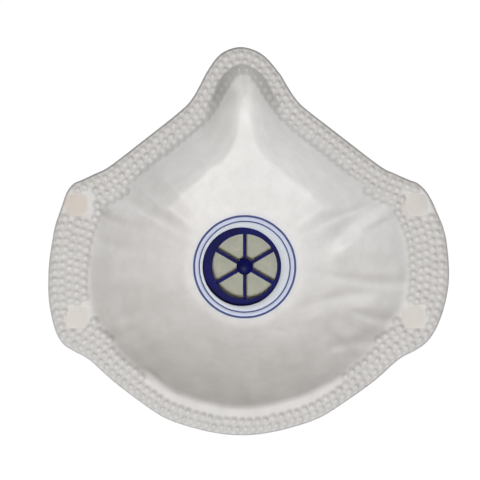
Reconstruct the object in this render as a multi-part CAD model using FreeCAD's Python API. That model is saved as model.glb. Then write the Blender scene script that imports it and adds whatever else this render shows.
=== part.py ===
import FreeCAD, Part
import math
import os

os.makedirs("parts", exist_ok=True)

V = FreeCAD.Vector

# A moulded cup dust mask with an exhalation valve and two headbands, in millimetres, upright as worn.
# +Z is up to the nose, +X runs across the face and +Y points away from the wearer.
# The origin is on the valve's axis, in the plane of the face seal: the flange's wearer side is at y = 0.

# --- overall sizes ---
mask_width = 139.0
nose_height = 76.3          # nose tip above the valve's axis
chin_drop = 58.3            # chin edge below the valve's axis
cup_depth = 36.0            # face seal to the flat seat round the valve, on the wearer's side

# --- face seal flange, its width measured towards the valve's axis ---
flange_nose = 9.7
flange_brow = 6.8
flange_side = 13.5
flange_jaw = 8.0
flange_chin = 9.2

# --- wall, from the wearer's side outwards ---
layers = (
    ("inner_facing", 0.30),
    ("electret_filter", 0.60),
    ("prefilter", 0.60),
    ("support_shell", 0.80),
    ("outer_cover", 0.30),
)
layer_gap = 0.05
flange_press = 0.6          # the weld presses the flange to this share of the loose wall

# --- roundings of the cup's profile, as depths over which two slopes merge ---
seat_round = 2.5
crease_round = 5.0
lip_round = 4.0

# --- exhalation valve ---
base_radius = 18.6
base_plate = 1.2
port_radius = 11.5
port_wall = 1.3
seat_margin = 2.9           # the cup stays flat this far outside the base plate
hole_margin = 1.1           # the cut through the wall is this far outside the port's wall
hole_shift = 1.0            # the cut is a little off the valve's axis, towards -X
port_height = 3.6           # base plate's wearer side to the diaphragm's seat
spoke_count = 6
spoke_width = 1.2
spoke_depth = 1.5
spoke_recess = 0.9          # behind the base plate's wearer side
hub_radius = 2.9
hub_step = 0.4              # the hub stands this far before the spokes, on the wearer's side
hub_dome = 0.8
stem_radius = 1.2
diaphragm_margin = 0.8      # the diaphragm reaches this far past the port's wall
diaphragm_thickness = 0.5
diaphragm_lift = 1.2
retainer_radius = 2.3
retainer_height = 1.0
collar_wall = 1.0
collar_height = 1.6
cover_wall = 1.1
cover_height = 9.0          # over the base plate
cover_round = 2.5
vent_count = 14
vent_margin = 0.8           # from the collar to the vents
vent_width = 4.4
vent_height = 3.4
seat_clearance = 0.05       # flat faces that rest on each other
slide_clearance = 0.3       # round the diaphragm and its stem
snap_clearance = 0.05       # cover on collar, retainer on stem
lift_clearance = 0.2        # lifted diaphragm to retainer

# --- nose clip ---
clip_length = 88.0
clip_width = 5.0
clip_thickness = 0.8
clip_edge_gap = 4.0         # from the cup's edge, along the wearer's side
clip_glue = 0.2

# --- headbands and their welds ---
weld_size = 9.0
weld_corner = 1.5
band_width = 8.0
band_thickness = 0.9
upper_weld_z = 21.7
lower_weld_z = -17.3
weld_shift = 0.05           # weld's centre to the middle of the side flange, towards the valve
upper_band_reach = 58.0
lower_band_reach = 60.0
band_root_half_width = 0.8  # a band is gathered to this where it leaves its weld
band_root_taper = 8.0       # and has its full width after this length
band_clearance = 0.4

# Half of the flange's outline from the nose tip round to the chin:
# x as a share of half the width, z as a share of the nose height or of the chin drop.
rim_shape = (
    (0.000, 1.000), (0.070, 0.985), (0.125, 0.950), (0.184, 0.880), (0.216, 0.828),
    (0.259, 0.765), (0.312, 0.715), (0.478, 0.596), (0.673, 0.460), (0.745, 0.426),
    (0.815, 0.397), (0.862, 0.378), (0.902, 0.335), (0.942, 0.250), (0.973, 0.169),
    (0.993, 0.060), (1.000, -0.060), (0.991, -0.195), (0.963, -0.330), (0.930, -0.415),
    (0.893, -0.466), (0.843, -0.503), (0.770, -0.552), (0.640, -0.688), (0.453, -0.849),
    (0.352, -0.914), (0.217, -0.964), (0.099, -0.992), (0.000, -1.000),
)

# Flange widths by direction, in degrees from +Z.
flange_keys = (
    (0, flange_nose), (14, flange_nose), (26, flange_brow), (42, flange_brow),
    (72, flange_side), (108, flange_side), (126, flange_jaw), (138, flange_jaw),
    (158, flange_chin), (180, flange_chin),
)

# Where the floor meets the wall, by direction in degrees from +Z:
# share of the way from the valve seat to the cup's edge, and share of the cup's depth.
crease_keys = (
    (0, 0.72, 0.60), (22, 0.50, 0.80), (38, 0.48, 0.82), (64, 0.74, 0.44), (95, 0.77, 0.38),
    (115, 0.73, 0.42), (142, 0.66, 0.56), (180, 0.67, 0.58),
)

press_start = 0.8           # share of the way down the wall where it starts to thin towards the flange
cut_past = 1.0              # cutting shapes run this far past what they cut
rim_samples = 57            # poles along half the outline
clip_poles = 28             # poles along half the nose clip
clip_rows = (0.0, 0.2, 0.4, 0.6, 0.8, 1.0)
wall_samples = (0.0, 0.05, 0.11, 0.19, 0.28, 0.37, 0.46, 0.54, 0.62, 0.70, 0.78, 0.85, 0.91, 0.96, 1.0)


seat_radius = base_radius + seat_margin
hole_radius = port_radius + port_wall + hole_margin
diaphragm_radius = port_radius + port_wall + diaphragm_margin
wall_thickness = sum(thickness for name, thickness in layers) + layer_gap * (len(layers) - 1)
flange_thickness = wall_thickness * flange_press
base_y = cup_depth + wall_thickness + seat_clearance
seat_y = base_y + port_height
diaphragm_y = seat_y + seat_clearance
retainer_y = diaphragm_y + diaphragm_thickness + diaphragm_lift + lift_clearance
collar_radius = base_radius - cover_wall - snap_clearance
weld_inset = flange_side / 2.0 + weld_shift
tab_y = flange_thickness + seat_clearance
band_axis_y = tab_y + band_thickness + band_root_half_width + band_clearance


def eased(keys, angle):
    """Values at an angle, easing in and out between the keys on either side."""
    for low, high in zip(keys, keys[1:]):
        if angle <= high[0]:
            share = (angle - low[0]) / (high[0] - low[0])
            share = share * share * (3.0 - 2.0 * share)
            return [a + (b - a) * share for a, b in zip(low[1:], high[1:])]
    return list(keys[-1][1:])


def smooth_min(a, b, reach):
    """The smaller of two heights, merged where they differ by less than reach."""
    merge = max(reach - abs(a - b), 0.0)
    return min(a, b) - merge * merge / (4.0 * reach)


def smooth_max(a, b, reach):
    return -smooth_min(-a, -b, reach)


def rim_point(t):
    """x and z on the flange's outline: t is 0 at the nose tip, 1 at the chin, negative on the -X side."""
    turn = (t + 1.0) % 2.0 - 1.0
    side = -1.0 if turn < 0.0 else 1.0
    place = abs(turn) * (len(rim_shape) - 1)
    first = min(int(place), len(rim_shape) - 2)
    s = place - first
    mirrored = [(-x, z) for x, z in rim_shape[1:2] + rim_shape[-2:-1]]
    keys = (mirrored[0],) + rim_shape + (mirrored[1],)
    p0, p1, p2, p3 = keys[first:first + 4]
    x, z = [
        b + 0.5 * s * (c - a + s * (2 * a - 5 * b + 4 * c - d + s * (3 * (b - c) + d - a)))
        for a, b, c, d in zip(p0, p1, p2, p3)
    ]
    height = nose_height if z > 0.0 else chin_drop
    return side * x * mask_width / 2.0, z * height


def cup_point(t, q):
    """Point on the wearer's side of the cup: q is 0 at the valve seat and 1 at the flange."""
    x, z = rim_point(t)
    rim = math.hypot(x, z)
    angle = math.degrees(math.atan2(abs(x), z))
    edge = rim - eased(flange_keys, angle)[0]
    crease_share, crease_depth = eased(crease_keys, angle)
    radius = seat_radius + q * (edge - seat_radius)
    floor_top = cup_depth + seat_round
    crease_y = crease_depth * cup_depth
    floor = floor_top - (floor_top - crease_y) * q / crease_share
    wall = crease_y - (crease_y + lip_round) * (q - crease_share) / (1.0 - crease_share)
    slope = smooth_min(floor, wall, crease_round)
    y = smooth_max(smooth_min(cup_depth, slope, seat_round), 0.0, lip_round)
    return V(radius * x / rim, y, radius * z / rim)


def press(q):
    """Share of the loose thickness left at q: the wall thins before it meets the flange."""
    share = max((q - press_start) / (1.0 - press_start), 0.0)
    return 1.0 - (1.0 - flange_press) * share * share * (3.0 - 2.0 * share)


def skin_point(t, q, level, beyond=0.0):
    """Point of the wall that lies level mm outside the wearer's side before pressing, and beyond it after."""
    step = 1e-4
    along = cup_point(t + step, q) - cup_point(t - step, q)
    low = max(q - step, 0.0)
    high = min(q + step, 1.0)
    across = cup_point(t, high) - cup_point(t, low)
    if q == 0.0 or q == 1.0:
        normal = V(0, 1, 0)
    else:
        normal = along.cross(across).normalize()
    if normal.y < 0.0:
        normal = normal.negative()
    return cup_point(t, q) + normal * (level * press(q) + beyond)


def even_knots(count):
    """Knots and multiplicities of a cubic spline with this many poles, from its first pole to its last."""
    knots = [float(i) for i in range(count - 2)]
    return knots, [4] + [1] * (count - 4) + [4]


def spline_surface(rows):
    """Smooth surface drawn by its poles, so that it can't ripple between them."""
    u_knots, u_mults = even_knots(len(rows))
    v_knots, v_mults = even_knots(len(rows[0]))
    surface = Part.BSplineSurface()
    surface.buildFromPolesMultsKnots(rows, u_mults, v_mults, u_knots, v_knots, False, False, 3, 3)
    return surface


def spline_curve(poles):
    knots, mults = even_knots(len(poles))
    curve = Part.BSplineCurve()
    curve.buildFromPolesMultsKnots(poles, mults, knots, False, 3)
    return curve


def closed_solid(faces):
    shell = Part.makeShell(faces)
    shell.sewShape()
    solid = Part.makeSolid(shell)
    if solid.Volume < 0.0:
        solid.reverse()
    return solid


def half_range(side, count):
    return [side * i / (count - 1.0) for i in range(count)]


def rim_edge(side, y):
    points = [rim_point(t) for t in half_range(side, rim_samples)]
    return spline_curve([V(x, y, z) for x, z in points]).toShape()


def flat_ring(wires):
    return Part.makeFace(wires, "Part::FaceMakerBullseye")


def skin_faces(level):
    """Cup, flange ring and valve seat ring at one level of the wall."""
    cup_faces = []
    edge_pieces = []
    seat_pieces = []
    for side in (1.0, -1.0):
        rows = [[skin_point(t, q, level) for q in wall_samples] for t in half_range(side, rim_samples)]
        surface = spline_surface(rows)
        u0, u1, v0, v1 = surface.bounds()
        cup_faces.append(surface.toShape())
        edge_pieces.append(surface.vIso(v1).toShape())
        seat_pieces.append(surface.vIso(v0).toShape())
    flange_y = level * flange_press
    outline = Part.Wire([rim_edge(1.0, flange_y), rim_edge(-1.0, flange_y)])
    flange = flat_ring([outline, Part.Wire(edge_pieces)])
    hole = Part.Wire(Part.makeCircle(hole_radius, V(-hole_shift, cup_depth + level, 0), V(0, 1, 0)))
    seat = flat_ring([Part.Wire(seat_pieces), hole])
    return cup_faces + [flange, seat]


def wall_layer(inner, outer):
    """One layer of the wall, between two levels, from the valve's hole to the flange's outline."""
    faces = skin_faces(inner) + skin_faces(outer)
    rise = V(0, (outer - inner) * flange_press, 0)
    for side in (1.0, -1.0):
        faces.append(rim_edge(side, inner * flange_press).extrude(rise))
    hole = Part.makeCircle(hole_radius, V(-hole_shift, cup_depth + inner, 0), V(0, 1, 0))
    faces.append(hole.extrude(V(0, outer - inner, 0)))
    return closed_solid(faces)


def wall_layers():
    made = {}
    level = 0.0
    for name, thickness in layers:
        made[name] = wall_layer(level, level + thickness)
        level += thickness + layer_gap
    return made


def ring(outer, inner, y, height):
    """Tube on the valve's axis, from y outwards."""
    solid = Part.makeCylinder(outer, height, V(0, y, 0), V(0, 1, 0))
    if inner > 0.0:
        solid = solid.cut(Part.makeCylinder(inner, height, V(0, y, 0), V(0, 1, 0)))
    return solid


def edges_at(shape, y):
    """Edges that lie in the plane at y."""
    near = 0.01
    return [e for e in shape.Edges if abs(e.BoundBox.YMin - y) < near and e.BoundBox.YLength < near]


def valve_base():
    """Plate, port wall, collar, spokes and a domed hub with the stem for the diaphragm."""
    plate = ring(base_radius, port_radius, base_y, base_plate)
    port = ring(port_radius + port_wall, port_radius, base_y, port_height)
    collar = ring(collar_radius, collar_radius - collar_wall, base_y, base_plate + collar_height)
    spoke_y = base_y + spoke_recess
    spokes = []
    for i in range(spoke_count):
        bar = Part.makeBox(
            spoke_width, spoke_depth, port_radius + port_wall / 2.0, V(-spoke_width / 2.0, spoke_y, 0)
        )
        bar.rotate(V(0, 0, 0), V(0, 1, 0), 360.0 * i / spoke_count)
        spokes.append(bar)
    hub_y = spoke_y - hub_step
    hub = ring(hub_radius, 0.0, hub_y, hub_step + spoke_depth)
    ball_radius = (hub_radius ** 2 + hub_dome ** 2) / (2.0 * hub_dome)
    ball = Part.makeSphere(ball_radius, V(0, hub_y - hub_dome + ball_radius, 0))
    dome = ball.common(ring(hub_radius, 0.0, hub_y - hub_dome, hub_dome + hub_step / 2.0))
    stem = ring(stem_radius, 0.0, spoke_y, retainer_y + retainer_height - spoke_y)
    return plate.multiFuse([port, collar, hub, dome, stem] + spokes).removeSplitter()


def valve_diaphragm():
    hole = stem_radius + slide_clearance
    return ring(diaphragm_radius, hole, diaphragm_y, diaphragm_thickness)


def diaphragm_retainer():
    """Washer snapped on the stem's end, which stops the diaphragm when it lifts."""
    return ring(retainer_radius, stem_radius + snap_clearance, retainer_y, retainer_height)


def valve_cover():
    """Round cap over the collar, with a ring of vents in its side and rounded shoulders."""
    y = base_y + base_plate + seat_clearance
    top = base_y + base_plate + cover_height
    cap = ring(base_radius, 0.0, y, top - y)
    cap = cap.makeFillet(cover_round, edges_at(cap, top))
    inner = ring(base_radius - cover_wall, 0.0, y - cut_past, top - cover_wall - y + cut_past)
    inner = inner.makeFillet(cover_round - cover_wall, edges_at(inner, top - cover_wall))
    cap = cap.cut(inner)
    vent_y = y + collar_height + vent_margin
    vents = []
    for i in range(vent_count):
        vent = Part.makeBox(vent_width, vent_height, base_radius + cut_past, V(-vent_width / 2.0, vent_y, 0))
        middle = ring(base_radius - 2.0 * cover_wall, 0.0, vent_y - cut_past, vent_height + 2.0 * cut_past)
        vent = vent.cut(middle)
        vent.rotate(V(0, 0, 0), V(0, 1, 0), 360.0 * (i + 0.5) / vent_count)
        vents.append(vent)
    return cap.cut(Part.makeCompound(vents)).removeSplitter()


def edge_share(t, distance):
    """q of the point that lies a distance inside the cup's edge, measured along the wearer's side."""
    steps = 100
    last = cup_point(t, 1.0)
    run = 0.0
    for i in range(1, steps + 1):
        q = 1.0 - i / float(steps)
        point = cup_point(t, q)
        stretch = (point - last).Length
        if run + stretch >= distance:
            return q + (1.0 - (distance - run) / stretch) / steps
        run += stretch
        last = point
    return 0.0


def clip_end():
    """t at the nose clip's end, where its middle line has run half its length."""
    samples = 400
    middle = clip_edge_gap + clip_width / 2.0
    last = skin_point(0.0, edge_share(0.0, middle), wall_thickness)
    run = 0.0
    for i in range(1, samples):
        t = 0.5 * i / samples
        point = skin_point(t, edge_share(t, middle), wall_thickness)
        run += (point - last).Length
        last = point
        if run >= clip_length / 2.0:
            return t
    return 0.5


def nose_clip():
    """Soft metal strip glued over the nose on the outer cover, along the cup's edge."""
    end = clip_end()
    places = [end * i / clip_poles for i in range(-clip_poles, clip_poles + 1)]
    distances = [clip_edge_gap + clip_width * share for share in clip_rows]
    skins = []
    for beyond in (clip_glue, clip_glue + clip_thickness):
        rows = [[skin_point(t, edge_share(t, d), wall_thickness, beyond) for d in distances] for t in places]
        skins.append(spline_surface(rows))
    faces = [skin.toShape() for skin in skins]
    bounds = [skin.bounds() for skin in skins]
    for end in (0, 1):
        edges = [skin.uIso(b[end]).toShape() for skin, b in zip(skins, bounds)]
        faces.append(Part.makeRuledSurface(*edges))
        edges = [skin.vIso(b[2 + end]).toShape() for skin, b in zip(skins, bounds)]
        faces.append(Part.makeRuledSurface(*edges))
    return closed_solid(faces)


def rim_x(z):
    """Half width of the flange's outline at a height."""
    samples = 400
    return max(
        a[0] + (b[0] - a[0]) * (z - a[1]) / (b[1] - a[1])
        for a, b in (
            (rim_point(i / float(samples)), rim_point((i + 1) / float(samples))) for i in range(samples)
        )
        if min(a[1], b[1]) <= z <= max(a[1], b[1]) and a[1] != b[1]
    )


def band_ends(weld_z):
    """The two welded ends of a headband, flat on the outside of the flange."""
    x = rim_x(weld_z) - weld_inset
    half = weld_size / 2.0
    tabs = []
    for side in (1.0, -1.0):
        corner = V(side * x - half, tab_y, weld_z - half)
        tab = Part.makeBox(weld_size, band_thickness, weld_size, corner)
        uprights = [e for e in tab.Edges if e.BoundBox.YLength > band_thickness / 2.0]
        tabs.append(tab.makeFillet(weld_corner, uprights))
    return Part.makeCompound(tabs)


def headband(weld_z, reach):
    """The free loop of a headband: half an ellipse on edge, gathered at both roots."""
    half_span = rim_x(weld_z) - weld_inset + weld_size / 2.0 - band_thickness
    axis = V(0, band_axis_y, weld_z)

    def half_ellipse(shrink):
        side = V(half_span - shrink, 0, 0)
        top = V(0, reach - shrink, 0)
        if reach > half_span:
            return Part.Ellipse(top, side, V(0, 0, 0)).toShape(-math.pi / 2.0, math.pi / 2.0)
        return Part.Ellipse(side, top, V(0, 0, 0)).toShape(0.0, math.pi)

    outer = half_ellipse(0.0)
    inner = half_ellipse(band_thickness)
    feet = [
        Part.makeLine(V(side * half_span, 0, 0), V(side * (half_span - band_thickness), 0, 0))
        for side in (1.0, -1.0)
    ]
    profile = Part.Face(Part.Wire(Part.__sortEdges__([outer, inner] + feet)))
    arch = profile.extrude(V(0, 0, band_width))
    arch.translate(V(0, 0, -band_width / 2.0))
    root = band_root_half_width
    half = band_width / 2.0
    side_view = [(0, -root), (band_root_taper, -half), (reach + cut_past, -half)]
    side_view += [(y, -z) for y, z in reversed(side_view)]
    corners = [V(-half_span - cut_past, y, z) for y, z in side_view]
    taper = Part.Face(Part.makePolygon(corners + corners[:1])).extrude(V(2.0 * (half_span + cut_past), 0, 0))
    band = arch.common(taper)
    band.translate(axis)
    return band


def write(name, shape):
    solids = shape.Solids
    if not solids or not shape.isValid():
        raise SystemExit("bad solid: " + name)
    kept = solids[0] if len(solids) == 1 else Part.makeCompound(solids)
    kept.exportStep("parts/" + name + ".step")
    box = kept.BoundBox
    print(
        "%-20s %d solid %9.1f mm3   x %.1f %.1f   y %.1f %.1f   z %.1f %.1f"
        % (name, len(solids), kept.Volume, box.XMin, box.XMax, box.YMin, box.YMax, box.ZMin, box.ZMax)
    )


for name, shape in wall_layers().items():
    write(name, shape)
write("nose_clip", nose_clip())
write("valve_base", valve_base())
write("valve_diaphragm", valve_diaphragm())
write("diaphragm_retainer", diaphragm_retainer())
write("valve_cover", valve_cover())
write("upper_band_ends", band_ends(upper_weld_z))
write("lower_band_ends", band_ends(lower_weld_z))
write("upper_headband", headband(upper_weld_z, upper_band_reach))
write("lower_headband", headband(lower_weld_z, lower_band_reach))
print("band axes at y = %.3f" % band_axis_y)
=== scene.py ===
import math

import bpy
import numpy as np
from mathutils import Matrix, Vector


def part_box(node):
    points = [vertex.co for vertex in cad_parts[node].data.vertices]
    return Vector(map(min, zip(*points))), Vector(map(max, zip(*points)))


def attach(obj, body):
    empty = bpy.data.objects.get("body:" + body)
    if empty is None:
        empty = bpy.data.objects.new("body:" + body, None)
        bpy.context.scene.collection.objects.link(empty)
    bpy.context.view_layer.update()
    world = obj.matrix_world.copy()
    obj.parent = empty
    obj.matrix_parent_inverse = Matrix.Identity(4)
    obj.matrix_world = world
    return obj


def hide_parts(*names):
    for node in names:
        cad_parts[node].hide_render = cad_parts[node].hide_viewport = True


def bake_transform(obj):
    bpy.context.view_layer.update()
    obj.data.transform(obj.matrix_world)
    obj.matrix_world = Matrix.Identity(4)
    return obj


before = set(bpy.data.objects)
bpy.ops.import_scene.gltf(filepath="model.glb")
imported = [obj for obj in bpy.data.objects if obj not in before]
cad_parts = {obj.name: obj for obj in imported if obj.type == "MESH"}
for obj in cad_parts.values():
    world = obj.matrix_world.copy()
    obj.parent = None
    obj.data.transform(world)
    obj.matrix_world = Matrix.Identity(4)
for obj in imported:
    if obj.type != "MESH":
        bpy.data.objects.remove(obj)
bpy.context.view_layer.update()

# Sizes below are in millimetres; putMesh turns them into metres. The mask stands upright as worn: +Z is the
# nose, +Y points away from the wearer, and the flange's wearer side lies at y = 0.
mm = 0.001


def boxMm(node):
    # low and high corner of a CAD node
    low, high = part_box(node)
    return np.array(low) / mm, np.array(high) / mm


facingLow, facingHigh = boxMm("inner_facing")
coverHigh = boxMm("outer_cover")[1]
facingThickness = 0.3
layerGap = 0.05              # between the wall's layers

cup = {
    "halfWidth": facingHigh[0],
    "noseHeight": facingHigh[2],
    "chinDrop": -facingLow[2],
    "seatDepth": facingHigh[1] - facingThickness,
    "floorStart": 0.8,           # the floor's plane stands this far outside the seat's, at this radius
    "floorRadius": 18.7,
    "seatRadius": 21.5,
    "seatRound": 2.8,
    "holeRadius": 13.9,
    "holeShift": 1.0,
    "flangePress": 0.6,          # share of a layer's level that is left on the pressed flange
    "wallSpread": 0.8,           # and share that moves the wall outwards
    "lipRound": 2.0,
    "edgeRoll": 0.95,            # the flange's last edge rolls back this far
    "edgeRollSpan": (-0.1, 0.75),
    "edgeSealShade": (0.15, 0.85),      # from the outline: where the sealed edge's grey and painted shade start to fade, and where they end
    "vault": 7.0,                # reach of the rounding where the two sides of the nose meet
    "vaultSlope": 1.7,
    "vaultRise": (25.0, 35.0),   # heights over which the vault starts
    "vaultFoot": (0.3, 4.0),     # distances from the cup's edge over which it starts
    "cheek": (50.0, 66.0),       # directions over which the wall changes from nearest edges to rays
    "facingSpan": 24,            # neighbours on each side in the mean of how squarely rays meet the edge
    "columns": 600,
}

# Rows of the grids: distances from the valve's axis on the seat, counts from the seat to the cup's edge and
# from there to the outline, and the few rows of the plain layers.
gridRows = {
    "fineSeat": [15.15, 15.35, *np.arange(15.5, 18.6, 0.17), 18.9, 19.6, 20.5],
    "fineCup": 57,
    "fineFlange": 30,
    "plainSeat": [15.5, 17.5, 19.5],
    "plainCup": 19,
    "plainFlange": [0.3, 0.65, 0.93, 1.0],
    "holeGap": 0.05,             # rows stay this far outside the cut
}

# Half of the flange's outline from the nose tip round to the chin:
# share of half the width, share of the nose height or of the chin drop.
rimShape = [
    (0.000, 1.000), (0.070, 0.985), (0.125, 0.950), (0.184, 0.880), (0.216, 0.828),
    (0.259, 0.765), (0.312, 0.715), (0.478, 0.596), (0.673, 0.460), (0.745, 0.426),
    (0.815, 0.397), (0.862, 0.378), (0.902, 0.335), (0.942, 0.250), (0.973, 0.169),
    (0.993, 0.060), (1.000, -0.060), (0.991, -0.195), (0.963, -0.330), (0.930, -0.415),
    (0.893, -0.466), (0.843, -0.503), (0.770, -0.552), (0.640, -0.688), (0.453, -0.849),
    (0.352, -0.914), (0.217, -0.964), (0.099, -0.992), (0.000, -1.000),
]

# Wall by direction, in degrees from +Z: flange width along the ray, slope of the floor from the valve
# outwards, and rounding of the crease between floor and wall.
floorKeys = np.array([
    (0, 6.0, 0.41, 1.2),
    (5, 6.8, 0.41, 1.0),
    (14, 9.2, 0.39, 1.0),
    (26, 6.8, 0.36, 1.2),
    (42, 6.8, 0.38, 1.6),
    (52, 8.6, 0.52, 2.0),
    (62, 11.8, 0.80, 4.0),
    (72, 13.5, 0.90, 7.0),
    (108, 13.5, 0.92, 9.0),
    (126, 8.0, 0.96, 12.0),
    (138, 8.0, 0.97, 13.0),
    (158, 9.2, 0.99, 13.0),
    (180, 9.2, 0.99, 13.0),
])

# Wall by the direction of the nearest place on the cup's edge: slope at the edge, depth over which that
# holds, and slope above it.
wallKeys = np.array([
    (0, 4.4, 6.0, 1.80),
    (4, 4.1, 6.0, 1.85),
    (10, 2.4, 7.5, 2.0),
    (16, 2.1, 7.5, 2.0),
    (44, 2.1, 7.5, 2.0),
    (56, 1.9, 7.5, 1.9),
    (68, 1.45, 7.5, 1.40),
    (80, 1.35, 7.5, 1.25),
    (108, 1.35, 7.5, 1.25),
    (126, 1.65, 7.5, 1.6),
    (145, 1.85, 7.5, 1.8),
    (180, 1.80, 7.5, 1.7),
])

# Sideways lean of the soft edge by height: the shell isn't quite the same on both sides.
leanKeys = np.array([
    (-58, -1.2), (-40, -0.4), (-27, -0.3), (-18, 0.5), (-5, 1.3), (10, 1.6),
    (22, 1.1), (32, 0.1), (50, 0.0), (66, -0.6), (76, -1.4),
])

# Soft folds of the lining: start x, z, end x, z, sideways bow, half width, height towards the wearer.
folds = np.array([
    (52.0, 27.0, 25.0, 1.5, -2.5, 2.6, 1.25),
    (50.0, 20.0, 29.0, -1.0, -1.5, 2.4, -0.85),
    (24.0, -1.0, 56.0, -5.5, -1.5, 1.8, 1.00),
    (26.0, 3.0, 53.0, 5.0, 2.5, 3.6, -0.90),
    (16.0, -15.5, 47.0, -8.5, 1.5, 1.8, 0.80),
    (20.0, -19.0, 50.0, -13.0, 1.0, 2.4, -0.60),
    (36.0, -15.0, 54.0, -19.0, -0.8, 1.8, 0.65),
    (29.0, -29.0, 44.0, -26.0, 1.0, 1.8, 0.55),
    (51.5, 26.5, 27.0, 16.5, 1.2, 1.5, 0.75),
    (48.0, 16.0, 30.0, 9.0, 0.8, 1.6, 0.45),
    (-53.5, 26.0, -35.0, 21.0, -1.0, 1.5, 0.85),
    (-51.0, 20.5, -33.0, 15.5, -1.0, 1.9, -0.55),
    (-53.0, 9.0, -24.0, 5.0, -1.2, 2.8, 0.45),
    (-52.0, -6.0, -22.0, -4.0, 1.0, 3.0, -0.45),
    (-48.0, -20.0, -22.0, -12.0, 1.0, 2.6, 0.45),
    (-40.0, -30.0, -20.0, -20.0, -1.0, 2.4, -0.35),
    (5.0, -21.5, 15.5, -23.5, 0.6, 0.9, 0.45),
    (-33.5, -35.5, -28.5, -43.0, 0.6, 1.2, 0.50),
    (-11.0, -25.0, -17.0, -42.0, 1.0, 2.2, 0.40),
    (11.0, -26.0, 18.0, -42.0, -1.0, 2.6, 0.40),
    (2.0, -28.0, 1.0, -44.0, 0.5, 2.0, -0.30),
    (28.0, -22.0, 40.0, -34.0, 0.5, 2.0, 0.35),
])

foldShape = {
    "strength": 1.9,
    "rise": (-0.12, 0.25),       # shares of a fold's length over which it rises, and over which it dies out
    "fall": (0.70, 1.15),
    "startWidth": 0.75,
    "widening": 0.6,
    "start": 1.5,                # folds start this far outside the seat
    "growth": 0.4,
    "edgeFade": (-0.5, 4.0),     # distances from the cup's edge over which they appear
}

softness = {"seed": 11, "waves": 14, "shortest": 7.0, "longest": 20.0, "flatness": 14.0}

dots = {
    "pitch": 2.75,
    "rowStep": 2.5,
    "firstRow": 2.3,             # from the flange's outer edge
    "radius": 1.26,
    "height": 0.92,
    "outside": 0.6,              # share of that height on the outer side
    "rows": 5,
    "rowSlack": 0.5,             # a dot closer to the outline than its row by more than this is left out
    "onWall": 1.0,               # the rows run this far past the cup's edge
    "noseOnWall": 3.6,
    "chinBand": 3.2,             # plain band between the chin's dots and the cup's edge
    "noseTurn": (8, 16),         # directions over which the nose's reach changes to the sides', from +Z
    "chinTurn": (130, 148),
    "scatter": 0.10,
    "strength": (0.75, 1.15),
    "gapFade": (1.4, 2.1),       # the gap's grey and painted shade fade out between these distances from a dot's middle
    "seed": 7,
}

welds = {
    "x": 58.4,
    "upperZ": 21.7,
    "lowerZ": -17.3,
    "half": 4.1,
    "sink": 0.22,
    "dotGap": 0.5,
    "edgeInner": 0.4,            # the pressed edge runs from this far inside to the next far outside
    "edgeOuter": 0.3,
}

rings = {"inner": 16.0, "outer": 17.85, "groove": 0.28, "depth": 0.30, "bead": 0.40, "beadWidth": 0.62}


def smoothMin(a, b, reach):
    # the smaller of two heights, merged where they differ by less than reach
    merge = np.maximum(reach - np.abs(a - b), 0.0)
    return np.minimum(a, b) - merge * merge / (4.0 * reach)


def smoothMax(a, b, reach):
    # the larger of two heights, merged the same way
    return -smoothMin(-a, -b, reach)


def ease(value, low, high):
    # smooth step: 0 up to low, 1 from high on
    share = np.clip((value - low) / (high - low), 0.0, 1.0)
    return share * share * (3.0 - 2.0 * share)


def keyed(keys, place, column):
    # value at a place, eased between the keys on either side
    low = np.clip(np.searchsorted(keys[:, 0], place, side="right") - 1, 0, len(keys) - 2)
    share = ease(place, keys[low, 0], keys[low + 1, 0])
    return keys[low, column] + (keys[low + 1, column] - keys[low, column]) * share


def closedCurve(points, count):
    # Catmull-Rom curve through all the points and back to the first, cut into pieces of equal length
    key = np.array(points)
    stepsPerSpan = 40
    place = np.linspace(0, len(key), stepsPerSpan * len(key), endpoint=False)
    span = place.astype(int)
    s = (place - span)[:, None]
    a, b, c, d = (key[(span + k) % len(key)] for k in (-1, 0, 1, 2))
    fine = b + 0.5 * s * (c - a + s * (2 * a - 5 * b + 4 * c - d + s * (3 * (b - c) + d - a)))
    loop = np.vstack([fine, fine[:1]])
    run = np.concatenate([[0.0], np.cumsum(np.hypot(*np.diff(loop, axis=0).T))])
    at = np.arange(count) * run[-1] / count
    return np.column_stack([np.interp(at, run, loop[:, k]) for k in (0, 1)])


def inwardNormals(curve):
    # quarter turn of the curve's direction, to the side of its own middle
    along = np.roll(curve, -1, axis=0) - np.roll(curve, 1, axis=0)
    normal = np.column_stack([-along[:, 1], along[:, 0]])
    normal /= np.hypot(*normal.T)[:, None]
    if (normal * curve).sum() > 0:
        normal = -normal
    return normal


def signedDistance(x, z, curve, normal):
    # Each grid row at a time: nearest point of the curve, and how far inside it the place lies. Close to the
    # curve, that is how far inside its tangent.
    tangentReach = 1.5
    out = np.empty(x.shape)
    nearest = np.empty(x.shape, dtype=int)
    for row in range(x.shape[0]):
        gap = (x[row][:, None] - curve[:, 0]) ** 2 + (z[row][:, None] - curve[:, 1]) ** 2
        near = gap.argmin(axis=1)
        side = (x[row] - curve[near, 0]) * normal[near, 0] + (z[row] - curve[near, 1]) * normal[near, 1]
        out[row] = np.sign(side) * np.sqrt(gap[np.arange(len(near)), near])
        close = np.abs(side) < tangentReach
        out[row][close] = side[close]
        nearest[row] = near
    return out, nearest


def cupRim(count):
    # the flange's outline: one half's points, then the same points mirrored, from the chin back to the nose
    half = np.array([
        (x * cup["halfWidth"], z * (cup["noseHeight"] if z > 0 else cup["chinDrop"])) for x, z in rimShape
    ])
    other = half[-2:0:-1] * (-1.0, 1.0)
    return closedCurve(np.vstack([half, other]), count)


def directionOf(x, z):
    # degrees from the nose round to the chin, the same on both sides
    return np.degrees(np.arctan2(np.abs(x), z))


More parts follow.
